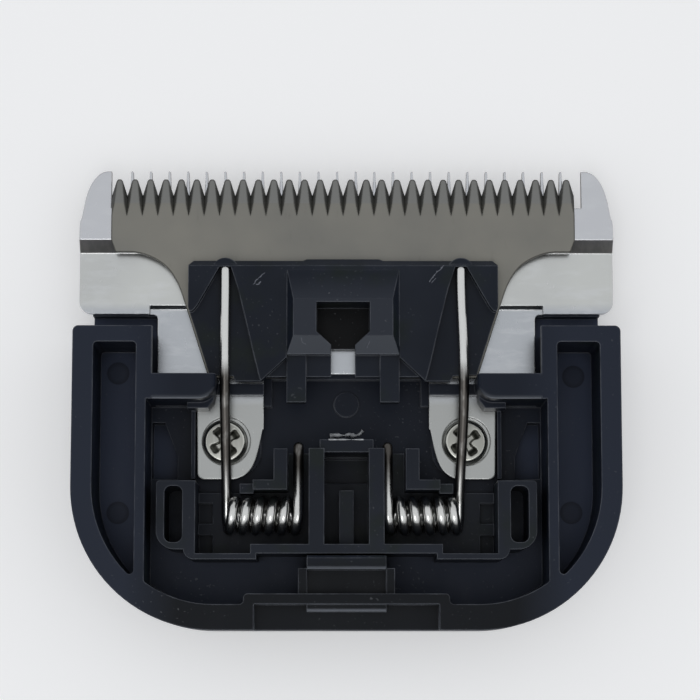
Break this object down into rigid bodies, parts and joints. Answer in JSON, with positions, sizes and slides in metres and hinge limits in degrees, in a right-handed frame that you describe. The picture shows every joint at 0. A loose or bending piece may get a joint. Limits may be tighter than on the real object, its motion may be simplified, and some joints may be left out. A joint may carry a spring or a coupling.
{
  "type": "hair clipper blade",
  "caption": "Snap-in blade block for a hair clipper: a toothed steel plate in a moulded tray, with a sprung cutter that slides across it.",
  "frame": {"origin": "centre of the bounding box in plan, on the plane of the outer face that the block lies on", "axes": "+X across the teeth, to the right with the teeth away from the viewer; +Y from the rear of the tray to the tooth tips; +Z from the outer face up to the rim of the open inner side"},
  "size_m": [0.0472, 0.0406, 0.0094],
  "materials": {
    "tray_plastic": "satin moulded",
    "carrier_plastic": "satin moulded",
    "block_plastic": "satin moulded",
    "plate_steel": "ground",
    "cutter_steel": "matte ground",
    "spring_steel": "bright wire",
    "screw_steel": "plated"
  },
  "bodies": {
    "tray": {"housing": "tray_plastic", "fixed_blade": "plate_steel", "spring_left": "spring_steel", "spring_right": "spring_steel", "screw_left": "screw_steel", "screw_right": "screw_steel", "spring_carrier": "carrier_plastic"},
    "cutter": {"moving_blade": "cutter_steel", "drive_block": "block_plastic"}
  },
  "joints": [
    {"name": "cutter_slide", "type": "slide", "parent": "tray", "child": "cutter", "axis": [1, 0, 0], "range_m": [-0.0009, 0.0015], "deforming": ["spring_left", "spring_right"]}
  ]
}
